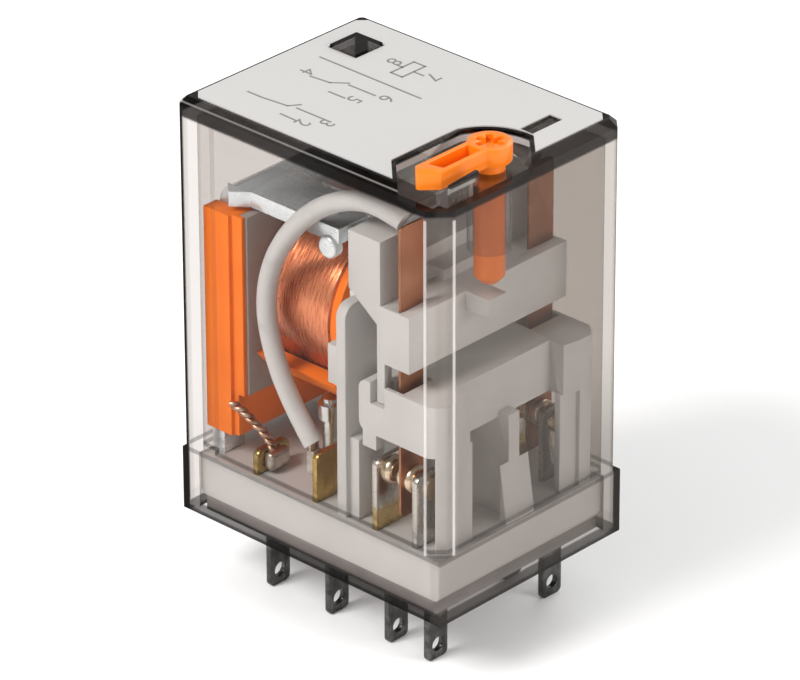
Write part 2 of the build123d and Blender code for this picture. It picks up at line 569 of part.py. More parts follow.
def lower_joint(side):
    """Tinned strands and solder between the lead and the common plate."""
    x, y = X_COM - BLADE_T / 2, side * 8.25
    return Pos(x - 0.45, y, COM_TOP - 1.1) * Box(0.9, 1.1, 2.2)


def upper_joint(side):
    """Solder pad on the leaf's upper end, facing the lead."""
    z = HINGE_Z + LEAF_RISE - 0.9
    return Pos(LEAF_X - 0.1, side * Y_CONTACT, z) * Box(0.2, 1.4, 1.4)


def coil_joint(side):
    """Solder bead over the end of the coil wire on its pin."""
    bead = Pos(X_COIL + BLADE_T / 2 + 0.5, side * (PLATE_IN_Y + 1.9), COIL_PIN_TOP - 1.0) * Box(1.0, 2.2, 1.6)
    return fillet(bead.edges(), 0.35)


def support_rivets():
    """Two steel rivets that stand on the base under the bobbin's saddle."""
    rivets = []
    for side in POLES.values():
        x, y = FLANGE_L - 2.4, side * RIVET_Y
        top = COIL_Z - math.sqrt((COIL_R + SADDLE_T) ** 2 - (RIVET_Y - 0.7) ** 2) - 0.05
        rivets.append(rod_z(x, y, BASE_TOP, top, 0.7) + rod_z(x, y, top - 1.8, top - 0.5, 1.0))
    return Compound(children=rivets)


def all_parts():
    """Every node's name and its solid."""
    parts = {"cover": cover(), "label": label(), "base": base(), "base_seal": base_seal(),
             "contact_block": contact_block(), "barrier_wall": barrier_wall(), "bobbin": bobbin(),
             "insulating_plate": insulating_plate(), "coil_winding": coil_winding(), "core": core(),
             "shading_ring": shading_ring(), "yoke": yoke(), "armature": armature(),
             "return_spring": return_spring(), "card": card(), "indicator_flag": indicator_flag(),
             "test_post": test_post(), "test_lever": test_lever(), "support_rivets": support_rivets()}
    for name, side in POLES.items():
        for kind, top in TERMINAL_TOP.items():
            parts[f"{kind}_terminal_{name}"] = terminal_solid(kind, side, top)
        for kind in ("no", "nc"):
            parts[f"{kind}_contact_{name}"] = fixed_contact(kind, side)
        parts[f"moving_spring_{name}"] = moving_spring(side)
        parts[f"moving_contact_{name}"] = moving_contact(side)
        parts[f"flexible_lead_{name}"] = tube(LEAD_ROUTE, LEAD_D, side)
        parts[f"coil_wire_{name}"] = tube(WIRE_ROUTE, WIRE_D, side)
        parts[f"lead_lower_joint_{name}"] = lower_joint(side)
        parts[f"lead_upper_joint_{name}"] = upper_joint(side)
        parts[f"coil_joint_{name}"] = coil_joint(side)
    return parts


os.makedirs("parts", exist_ok=True)
for node, solid in all_parts().items():
    export_step(solid, f"parts/{node}.step")
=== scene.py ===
"""Looks of a plug-in relay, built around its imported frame."""

import json
import logging
import math
from dataclasses import dataclass
from enum import Enum
from typing import Iterable, Optional

import bmesh
import bpy
from mathutils import Matrix, Vector

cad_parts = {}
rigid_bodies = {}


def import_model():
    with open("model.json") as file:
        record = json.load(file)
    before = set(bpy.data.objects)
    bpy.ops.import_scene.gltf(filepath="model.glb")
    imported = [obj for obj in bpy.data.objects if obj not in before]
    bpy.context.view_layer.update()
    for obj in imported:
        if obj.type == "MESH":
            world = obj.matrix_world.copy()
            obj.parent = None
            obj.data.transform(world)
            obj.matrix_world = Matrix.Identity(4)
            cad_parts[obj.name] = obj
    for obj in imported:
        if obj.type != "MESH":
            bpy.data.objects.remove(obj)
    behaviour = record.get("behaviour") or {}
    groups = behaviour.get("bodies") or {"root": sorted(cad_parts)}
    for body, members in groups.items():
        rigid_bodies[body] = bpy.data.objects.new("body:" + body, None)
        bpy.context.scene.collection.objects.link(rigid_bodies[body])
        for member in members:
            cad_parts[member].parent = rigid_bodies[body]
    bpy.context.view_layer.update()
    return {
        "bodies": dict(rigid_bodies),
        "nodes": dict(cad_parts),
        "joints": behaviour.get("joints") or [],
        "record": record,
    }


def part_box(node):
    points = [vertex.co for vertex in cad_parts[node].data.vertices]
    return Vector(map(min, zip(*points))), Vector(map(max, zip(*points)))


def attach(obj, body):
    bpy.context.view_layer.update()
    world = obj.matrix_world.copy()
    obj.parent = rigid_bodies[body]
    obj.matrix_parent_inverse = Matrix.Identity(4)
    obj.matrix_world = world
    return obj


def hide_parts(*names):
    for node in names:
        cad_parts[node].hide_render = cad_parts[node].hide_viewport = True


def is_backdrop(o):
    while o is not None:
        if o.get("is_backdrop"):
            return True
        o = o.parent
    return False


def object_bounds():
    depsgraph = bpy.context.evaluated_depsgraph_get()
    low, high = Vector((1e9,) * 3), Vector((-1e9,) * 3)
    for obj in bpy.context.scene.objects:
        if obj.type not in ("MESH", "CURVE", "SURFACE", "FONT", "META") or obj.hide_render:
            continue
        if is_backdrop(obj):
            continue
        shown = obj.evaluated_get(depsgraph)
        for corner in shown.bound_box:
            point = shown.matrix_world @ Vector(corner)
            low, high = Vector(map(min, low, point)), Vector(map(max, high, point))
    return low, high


LOG = logging.getLogger("relay")
MM = 0.001
POLES = {"1": -1.0, "2": 1.0}
Point = tuple[float, float, float]
Colour = tuple[float, float, float]


# ---------------------------------------------------------------- shader maths

class Signal:
    """A shader socket that Python's operators can work on."""

    def __init__(self, graph: "Graph", socket: bpy.types.NodeSocket) -> None:
        """Keeps the graph and the socket."""
        self.graph, self.socket = graph, socket

    def maths(self, operation: str, other: object = None, turned: bool = False) -> "Signal":
        """Adds one Math node.

        Args:
            operation: the Math node's operation.
            other: the second value or signal, if the operation has one.
            turned: whether the other value comes first.

        Returns:
            The node's result.
        """
        pair = [self] if other is None else ([other, self] if turned else [self, other])
        node = self.graph.node("ShaderNodeMath", {"operation": operation}, dict(enumerate(pair)))
        return Signal(self.graph, node.outputs[0])

    def __add__(self, other: object) -> "Signal":
        """Sum."""
        return self.maths("ADD", other)

    def __sub__(self, other: object) -> "Signal":
        """Difference."""
        return self.maths("SUBTRACT", other)

    def __rsub__(self, other: object) -> "Signal":
        """Difference from a number."""
        return self.maths("SUBTRACT", other, True)

    def __mul__(self, other: object) -> "Signal":
        """Product."""
        return self.maths("MULTIPLY", other)

    def __pow__(self, other: object) -> "Signal":
        """Power."""
        return self.maths("POWER", other)

    def __abs__(self) -> "Signal":
        """Size without sign."""
        return self.maths("ABSOLUTE")

    __radd__, __rmul__ = __add__, __mul__

    def top(self, other: object) -> "Signal":
        """The larger of two."""
        return self.maths("MAXIMUM", other)

    def low(self, other: object) -> "Signal":
        """The smaller of two."""
        return self.maths("MINIMUM", other)

    def ramp(self, start: float, end: float) -> "Signal":
        """A smooth step.

        Args:
            start: where it leaves 0.
            end: where it reaches 1.

        Returns:
            The step.
        """
        node = self.graph.node("ShaderNodeMapRange", {"interpolation_type": "SMOOTHSTEP"},
                               {"Value": self, "From Min": start, "From Max": end})
        return Signal(self.graph, node.outputs["Result"])


class Graph:
    """One material's node tree."""

    def __init__(self, name: str) -> None:
        """Starts an empty tree with its output."""
        self.material = bpy.data.materials.new(name)
        self.material.use_nodes = True
        self.tree = self.material.node_tree
        self.tree.nodes.clear()
        self.output = self.tree.nodes.new("ShaderNodeOutputMaterial")

    def node(self, kind: str, settings: Optional[dict] = None, inputs: Optional[dict] = None) -> bpy.types.Node:
        """Adds one node.

        Args:
            kind: the node's type.
            settings: its properties, set first.
            inputs: values, nodes or signals for its sockets, by name or place.

        Returns:
            The node.
        """
        node = self.tree.nodes.new(kind)
        for name, value in (settings or {}).items():
            setattr(node, name, value)
        for name, value in (inputs or {}).items():
            socket = node.inputs[name]
            if isinstance(value, Signal):
                self.tree.links.new(value.socket, socket)
            elif isinstance(value, bpy.types.Node):
                self.tree.links.new(value.outputs[0], socket)
            elif isinstance(value, tuple) and len(value) == 3 and socket.type == "RGBA":
                socket.default_value = (*value, 1.0)
            else:
                socket.default_value = value
        return node

    def signal(self, kind: str, output: object, inputs: Optional[dict] = None) -> Signal:
        """Adds one node.

        Args:
            kind: the node's type.
            output: the name or place of the output that is wanted.
            inputs: values, nodes or signals for its sockets.

        Returns:
            That output.
        """
        return Signal(self, self.node(kind, None, inputs).outputs[output])

    def place(self, scale: Point = (1.0, 1.0, 1.0)) -> Signal:
        """Object coordinates, stretched.

        Args:
            scale: how much each axis is stretched.

        Returns:
            The coordinates.
        """
        coordinates = self.signal("ShaderNodeTexCoord", "Object")
        if scale == (1.0, 1.0, 1.0):
            return coordinates
        return self.signal("ShaderNodeMapping", "Vector", {"Vector": coordinates, "Scale": scale})

    def axes(self) -> list[Signal]:
        """The object coordinates one by one.

        Returns:
            X, Y and Z in metres.
        """
        node = self.node("ShaderNodeSeparateXYZ", None, {0: self.place()})
        return [Signal(self, socket) for socket in node.outputs]

    def noise(self, size: float, detail: float = 2.0, stretch: Point = (1.0, 1.0, 1.0)) -> Signal:
        """Noise from 0 to 1.

        Args:
            size: how far across its lumps are, in metres.
            detail: how many finer layers it has.
            stretch: how much each axis is stretched.

        Returns:
            The noise.
        """
        return self.signal("ShaderNodeTexNoise", "Fac", {
            "Vector": self.place(stretch), "Scale": 1.0 / size, "Detail": detail, "Roughness": 0.55})

    def blend(self, factor: object, first: object, second: object) -> Signal:
        """A colour between two.

        Args:
            factor: how much of the second there is.
            first: the colour at 0.
            second: the colour at 1.

        Returns:
            The mixed colour.
        """
        node = self.node("ShaderNodeMix", {"data_type": "RGBA"}, {0: factor, 6: first, 7: second})
        return Signal(self, node.outputs[2])

    def bump(self, height: Signal, depth: float) -> Signal:
        """A normal from a height.

        Args:
            height: the height, from 0 to 1.
            depth: the relief's depth in metres.

        Returns:
            The normal.
        """
        return self.signal("ShaderNodeBump", "Normal", {"Height": height, "Distance": depth, "Strength": 1.0})

    def close(self, shader: bpy.types.Node) -> bpy.types.Material:
        """Links the last shader.

        Args:
            shader: the node whose first output is the surface.

        Returns:
            The finished material.
        """
        self.tree.links.new(shader.outputs[0], self.output.inputs["Surface"])
        return self.material


# -------------------------------------------------------------------- finishes

@dataclass(frozen=True)
class Moulding:
    """Moulded plastic with faint flow marks and a fine spark-eroded skin."""

    name: str
    colour: Colour
    shade: Colour
    roughness: float = 0.42
    grain: float = 0.00012
    depth: float = 0.000006
    glow: float = 0.0
    shine: float = 0.35
    flow_size: float = 0.004
    uneven: float = 0.12
    glow_reach: Point = (0.0006, 0.0003, 0.0002)

    def material(self) -> bpy.types.Material:
        """Makes the finish.

        Returns:
            The material.
        """
        g = Graph(self.name)
        flow = g.noise(self.flow_size, 3.0)
        skin = g.noise(self.grain, 2.0)
        colour = g.blend(flow.ramp(0.3, 0.75), self.colour, self.shade)
        return g.close(g.node("ShaderNodeBsdfPrincipled", None, {
            "Base Color": colour, "Roughness": flow * self.uneven + (self.roughness - self.uneven / 2),
            "Specular IOR Level": self.shine, "Subsurface Weight": self.glow, "Subsurface Scale": 1.0,
            "Subsurface Radius": self.glow_reach, "Normal": g.bump(skin, self.depth)}))


@dataclass(frozen=True)
class PlatedSteel:
    """Zinc or nickel plate: cloudy colour, uneven gloss, faint rolling lines."""

    name: str
    colour: Colour
    cloud: Colour
    roughness: float = 0.3
    cloud_size: float = 0.0025
    metal: float = 1.0
    line_size: float = 0.0003
    dent_size: float = 0.0007
    relief: float = 0.00002

    def material(self) -> bpy.types.Material:
        """Makes the finish.

        Returns:
            The material.
        """
        g = Graph(self.name)
        cloud = g.noise(self.cloud_size, 4.0)
        lines = g.noise(self.line_size, 3.0, (0.15, 1.0, 1.0))
        dents = g.noise(self.dent_size)
        colour = g.blend(cloud.ramp(0.35, 0.7), self.colour, self.cloud)
        return g.close(g.node("ShaderNodeBsdfPrincipled", None, {
            "Base Color": colour, "Metallic": self.metal,
            "Roughness": (cloud * 0.25 + lines * 0.1) + (self.roughness - 0.15),
            "Normal": g.bump(lines * 0.3 + dents * 0.7, self.relief)}))


@dataclass(frozen=True)
class BladeMetal:
    """Plated terminal: bare gold-coloured brass inside, tinned near its top, nickel outside darkened with painted
    dark reflection.
    """

    name: str
    inner: Colour
    tin_from: float
    outer_nickel_and_shade: Colour = (0.055, 0.055, 0.053)
    worn: Colour = (0.13, 0.128, 0.122)
    tin: Colour = (0.62, 0.58, 0.53)
    inside_from: float = 0.0016
    tin_fade: float = 0.0003
    tin_waver: float = 0.0012
    wear_size: float = 0.0011
    scratch_size: float = 0.00016
    relief: float = 0.000012

    def material(self) -> bpy.types.Material:
        """Makes the finish.

        Returns:
            The material.
        """
        g = Graph(self.name)
        height = g.axes()[2]
        wear = g.noise(self.wear_size, 4.0)
        scratch = g.noise(self.scratch_size, 3.0, (1.0, 1.0, 0.12))
        edge = wear * self.tin_waver - self.tin_waver / 2
        tinned = (height + edge).ramp(self.tin_from - self.tin_fade, self.tin_from + self.tin_fade)
        # The outside colours are nickel darkened with painted dark reflection.
        outside = g.blend(wear.ramp(0.35, 0.7), self.outer_nickel_and_shade, self.worn)
        colour = g.blend(height.ramp(0.0, self.inside_from), outside, g.blend(tinned, self.inner, self.tin))
        return g.close(g.node("ShaderNodeBsdfPrincipled", None, {
            "Base Color": colour, "Metallic": 1.0, "Roughness": wear * 0.25 + 0.14,
            "Normal": g.bump(scratch * 0.5 + wear * 0.5, self.relief)}))


@dataclass(frozen=True)
class Winding:
    """Enamelled copper turns, side by side, with painted shade towards the bottom."""

    name: str = "enamelled_turns"
    shade: Colour = (0.26, 0.055, 0.03)
    dark: Colour = (0.66, 0.155, 0.05)
    bright: Colour = (0.97, 0.38, 0.18)
    dull: Colour = (0.62, 0.20, 0.09)
    shaded_span: tuple[float, float] = (0.011, 0.021)
    streak_size: float = 0.00014
    patch_size: float = 0.0018
    relief: float = 0.00003

    def material(self) -> bpy.types.Material:
        """Makes the finish.

        Returns:
            The material.
        """
        g = Graph(self.name)
        streak = g.noise(self.streak_size, 3.0, (1.0, 0.10, 0.10))
        patch = g.noise(self.patch_size, 3.0)
        height = g.axes()[2]
        fresh = g.blend(streak.ramp(0.25, 0.8), self.dark, self.bright)
        # painted shade on the lower part of the winding
        painted_shade_tone = g.blend(height.ramp(*self.shaded_span), self.shade, fresh)
        colour = g.blend(patch.ramp(0.62, 0.85), painted_shade_tone, self.dull)
        return g.close(g.node("ShaderNodeBsdfPrincipled", None, {
            "Base Color": colour, "Metallic": 0.75, "Roughness": streak * 0.2 + 0.18,
            "Coat Weight": 0.35, "Coat Roughness": 0.18, "Normal": g.bump(streak, self.relief)}))


@dataclass(frozen=True)
class SmokyCase:
    """Smoky clear case, with painted shade and dark reflection where one looks along a wall: the top's edge, the rims
    and the corners.

    It also has painted shade on its side and far walls, and painted highlights on the front corner's cut and in the
    lever's pocket. Lengths are in metres. Each _dark is how far the plain tint gives way to the near-black painted
    shade, from 0 to 1.
    """

    half_length: float
    half_width: float
    ceiling: float
    ledge: float
    top: float
    name: str = "smoky_clear"
    skin: float = 0.0009
    fade: float = 0.0002
    cut: float = 0.0016
    slot: tuple[float, float] = (0.01015, 0.0049)
    slot_half: tuple[float, float] = (0.0006, 0.0017)
    pocket_depth: float = 0.00095
    pocket_end: float = 0.0030
    line_half: tuple[float, float] = (0.00006, 0.00016)
    clear: Colour = (0.94, 0.93, 0.925)
    # The next two tints are painted shade on the side walls and the far wall; the near-black one after them is
    # painted shade and dark reflection.
    side_shade_tint: Colour = (0.78, 0.755, 0.74)
    painted_shade_tone: Colour = (0.66, 0.63, 0.60)
    painted_dark_tint: Colour = (0.018, 0.013, 0.012)
    dim_veil: Colour = (0.24, 0.215, 0.195)
    # The pale veil colour is painted highlight and painted light.
    painted_light_tone: Colour = (0.85, 0.83, 0.81)
    edge_dark: float = 0.86
    slab_dark: float = 0.08
    sunk_dark: float = 0.3
    outline_dark: float = 0.9
    window_dark: float = 0.86
    vent_dark: float = 0.8
    rim_dark: float = 0.75
    seam_dark: float = 0.12
    step_dark: float = 0.5
    corner_dark: float = 0.93

    def painted_dark_mask(self, axes: list[Signal]) -> Signal:
        """Painted shade and dark reflection where one looks along the case's walls, from 0 to 1, and a darker raised
        window top.

        Args:
            axes: the three object coordinates.

        Returns:
            The mask.
        """
        x, y, z = axes
        across, along = abs(x), abs(y)
        end, flank = self.half_length - self.skin, self.half_width - self.skin
        outside = across.ramp(end, end + self.fade).top(along.ramp(flank, flank + self.fade)).top(self.notch(x, y))
        floor = self.top - self.pocket_depth
        sunk = 1.0 - z.ramp(floor - 0.00003, floor + 0.00003)
        slab = (z.ramp(self.ceiling + self.fade, self.ceiling + 0.0005)
                * (outside * self.edge_dark + self.slab_dark).top(sunk * self.sunk_dark))
        outline = z.ramp(self.top - 0.00030, self.top - 0.00026) * self.outline_dark
        window = z.ramp(self.top + 0.00004, self.top + 0.00008) * self.window_dark
        slot_x, slot_y = (1.0 - abs(value - place).ramp(half, half + 0.0001)
                          for value, place, half in zip((x, y), self.slot, self.slot_half))
        # painted shade in the slot
        vent = slot_x * slot_y * z.ramp(self.ceiling, self.ceiling + 0.0003) * self.vent_dark
        rim = (1.0 - z.ramp(0.0002, 0.0005)) * self.rim_dark
        seam = (1.0 - z.ramp(0.0010, 0.0014)) * self.seam_dark
        step = (1.0 - abs(z - self.ledge).ramp(0.0001, 0.0003)) * self.step_dark
        near = across.ramp(end + 0.0001, end + 0.0003) * along.ramp(flank, flank + 0.0003)
        front = x.ramp(-self.fade, self.fade) * (1.0 - y.ramp(-self.fade, self.fade))
        corner = near * (1.0 - front) * self.corner_dark
        mask = slab
        for part in (outline, rim, seam, step, corner, window, vent):
            mask = mask.top(part)
        return mask

    def notch(self, x: Signal, y: Signal) -> Signal:
        """The column where the front corner is cut off.

        Args:
            x: the first object coordinate.
            y: the second one.

        Returns:
            The mask.
        """
        inner = self.half_length - self.cut
        return x.ramp(inner, inner + self.fade) * (1.0 - (y + self.half_width).ramp(self.cut - self.fade, self.cut))

    def painted_corner_highlight(self, axes: list[Signal]) -> Signal:
        """The two painted highlight lines where the front corner's cut meets the walls.

        Args:
            axes: the three object coordinates.

        Returns:
            The mask.
        """
        x, y, z = axes
        above = z.ramp(self.ledge, self.ledge + 0.0003) * (1.0 - z.ramp(self.ceiling, self.ceiling + 0.0003))
        left = ((1.0 - abs(x - (self.half_length - self.cut)).ramp(*self.line_half))
                * (1.0 - (y + self.half_width).ramp(0.0001, 0.0003)))
        right = ((1.0 - abs(y + (self.half_width - self.cut)).ramp(*self.line_half))
                 * x.ramp(self.half_length - 0.0003, self.half_length - 0.0001))
        return left.top(right) * above

    def painted_pocket_light(self, axes: list[Signal]) -> Signal:
        """The upright walls of the lever's pocket, made pale with painted light.

        Args:
            axes: the three object coordinates.

        Returns:
            The mask.
        """
        x, y, z = axes
        floor = self.top - self.pocket_depth
        height = z.ramp(floor, floor + 0.0001) * (1.0 - z.ramp(self.top - 0.0004, self.top - 0.0003))
        inward = (1.0 - self.end_wall(x)) * (y + self.half_width).ramp(0.0001, 0.0003)
        reach = 1.0 - y.ramp(self.pocket_end - 0.0001, self.pocket_end + 0.0001)
        return height * inward * reach * (1.0 - self.notch(x, y))

    def end_wall(self, x: Signal) -> Signal:
        """The wall on the lever's side, by the first object coordinate."""
        return x.ramp(self.half_length - 0.0012, self.half_length - 0.0008)

    def material(self) -> bpy.types.Material:
        """Makes the finish.

        Returns:
            The material.
        """
        g = Graph(self.name)
        axes = g.axes()
        x, y, _ = axes
        facing = g.signal("ShaderNodeLayerWeight", "Facing", {"Blend": 0.5})
        clear, side_shade_tint, painted_shade_tone, painted_dark_tint = (g.node("ShaderNodeBsdfTransparent", None, {"Color": tint})
                                     for tint in (self.clear, self.side_shade_tint, self.painted_shade_tone, self.painted_dark_tint))
        # Near-black tint on the edges and at grazing angles: painted shade and dark reflection.
        dark = self.painted_dark_mask(axes).top((facing ** 4.0) * 0.95).low(0.97)
        # Darker tints on the side walls and the far wall: painted shade.
        side = self.end_wall(x)
        shaded = (side * 0.45).top(1.0 - x.ramp(0.0010 - self.half_length, 0.0014 - self.half_length))
        far = y.ramp(self.half_width - 0.0014, self.half_width - 0.0010)
        through = clear
        for factor, tint in ((shaded, side_shade_tint), (far, painted_shade_tone), (dark, painted_dark_tint)):
            through = g.node("ShaderNodeMixShader", None, {0: factor, 1: through, 2: tint})
        # Pale veil on the corner's cut lines and the pocket walls: painted highlight and painted light; elsewhere a
        # faint haze, stronger on the end wall.
        lines, pocket = self.painted_corner_highlight(axes), self.painted_pocket_light(axes)
        haze_and_painted_light = g.noise(0.003) * 0.004 + side * 0.06 + (lines * 0.4).top(pocket * 0.5)
        veil_and_painted_light = g.blend(lines.top(pocket), self.dim_veil, self.painted_light_tone)
        veiled = g.node("ShaderNodeMixShader", None, {
            0: haze_and_painted_light, 1: through, 2: g.node("ShaderNodeBsdfPrincipled", None, {
                "Base Color": veil_and_painted_light, "Roughness": 0.5})})
        mirror = g.node("ShaderNodeBsdfPrincipled", None, {
            "Base Color": (0.92, 0.90, 0.89), "Metallic": 1.0, "Roughness": 0.05})
        gloss = (facing ** 5.0) * 0.7 + 0.004
        return g.close(g.node("ShaderNodeMixShader", None, {0: gloss, 1: veiled, 2: mirror}))


@dataclass(frozen=True)
class SoftSleeve:
    """White silicone sleeve with a soft sheen and faint dirt."""

    name: str = "white_sleeve"
    clean: Colour = (0.60, 0.59, 0.575)
    dirty: Colour = (0.52, 0.51, 0.49)
    dirt_size: float = 0.0016
    grain: float = 0.0004
    relief: float = 0.000012
    glow_reach: Point = (0.0005, 0.0004, 0.0004)

    def material(self) -> bpy.types.Material:
        """Makes the finish.

        Returns:
            The material.
        """
        g = Graph(self.name)
        dirt = g.noise(self.dirt_size, 4.0)
        colour = g.blend(dirt.ramp(0.45, 0.8), self.clean, self.dirty)
        return g.close(g.node("ShaderNodeBsdfPrincipled", None, {
            "Base Color": colour, "Roughness": 0.5, "Subsurface Weight": 0.25,
            "Subsurface Radius": self.glow_reach, "Subsurface Scale": 1.0,
            "Normal": g.bump(g.noise(self.grain), self.relief)}))


@dataclass(frozen=True)
class Sheet:
    """Printed film: faint mottling under a satin skin."""

    name: str
    colour: Colour
    roughness: float = 0.45
    fibre_size: float = 0.0006
    grain: float = 0.0002
    relief: float = 0.000004

    def material(self) -> bpy.types.Material:
        """Makes the finish.

        Returns:
            The material.
        """
        g = Graph(self.name)
        fibre = g.noise(self.fibre_size, 4.0)
        paler = tuple(min(1.0, c * 1.05) for c in self.colour)
        return g.close(g.node("ShaderNodeBsdfPrincipled", None, {
            "Base Color": g.blend(fibre, self.colour, paler), "Roughness": fibre * 0.1 + self.roughness,
            "Normal": g.bump(g.noise(self.grain), self.relief)}))


class Paint(Enum):
    """The finishes that more than one sub-assembly uses."""

    GREY = Moulding("grey_moulding_skin", (0.60, 0.585, 0.565), (0.56, 0.545, 0.525), 0.46)
    ORANGE = Moulding("orange_moulding_skin", (0.98, 0.215, 0.010), (0.93, 0.19, 0.009), 0.42, glow=0.03, shine=0.2)
    LEVER = Moulding("lever_orange_skin", (0.90, 0.205, 0.006), (0.86, 0.19, 0.006), 0.24, depth=0.000002, glow=0.06)
    # The insulating plate is a light grey plate in painted shade.
    FILM_IN_SHADE = Moulding("grey_plate_painted_shade", (0.36, 0.31, 0.28), (0.30, 0.26, 0.24), 0.5)
    FLAG = Moulding("flag_skin", (0.80, 0.22, 0.05), (0.74, 0.2, 0.05), 0.5)
    RESIN = Moulding("potting_skin", (0.30, 0.275, 0.26), (0.24, 0.22, 0.21), 0.35, 0.0006, 0.00003)
    ZINC = PlatedSteel("zinc_plate", (0.66, 0.71, 0.73), (0.80, 0.83, 0.835), 0.24, 0.004, 0.6)
    IRON = PlatedSteel("bare_iron", (0.34, 0.34, 0.34), (0.42, 0.41, 0.40), 0.38)
    SPRING = PlatedSteel("spring_temper", (0.40, 0.39, 0.37), (0.50, 0.48, 0.46), 0.28)
    BRIGHT = PlatedSteel("bright_turned_steel", (0.62, 0.61, 0.59), (0.72, 0.70, 0.68), 0.2)
    COPPER = PlatedSteel("bare_copper_skin", (0.72, 0.30, 0.16), (0.80, 0.42, 0.27), 0.3, 0.0012)
    LEAF = PlatedSteel("copper_leaf_skin", (0.36, 0.145, 0.07), (0.45, 0.20, 0.11), 0.34)
    SILVER = PlatedSteel("gold_flashed_silver", (0.72, 0.55, 0.38), (0.80, 0.68, 0.52), 0.2)
    SOLDER = PlatedSteel("solder_with_flux", (0.40, 0.34, 0.28), (0.58, 0.54, 0.50), 0.32, 0.0006)
    TINNED = PlatedSteel("tinned_strands", (0.52, 0.38, 0.28), (0.70, 0.58, 0.48), 0.26, 0.0005)
    TWIST = PlatedSteel("part_tinned_wire", (0.40, 0.20, 0.115), (0.62, 0.46, 0.35), 0.3, 0.0006)
    INK = Sheet("print_grey", (0.19, 0.18, 0.175), 0.5)


class Finishes:
    """Makes each shared finish once."""

    def __init__(self) -> None:
        """Starts with no material made."""
        self.made: dict[str, bpy.types.Material] = {}

    def get(self, finish: object) -> bpy.types.Material:
        """The material of a finish, made the first time it is asked for.

        Args:
            finish: a finish, or a member of Paint.

        Returns:
            Its material.
        """
        source = finish.value if isinstance(finish, Enum) else finish
        if source.name not in self.made:
            self.made[source.name] = source.material()
        return self.made[source.name]


# --------------------------------------------------------------------- the bench

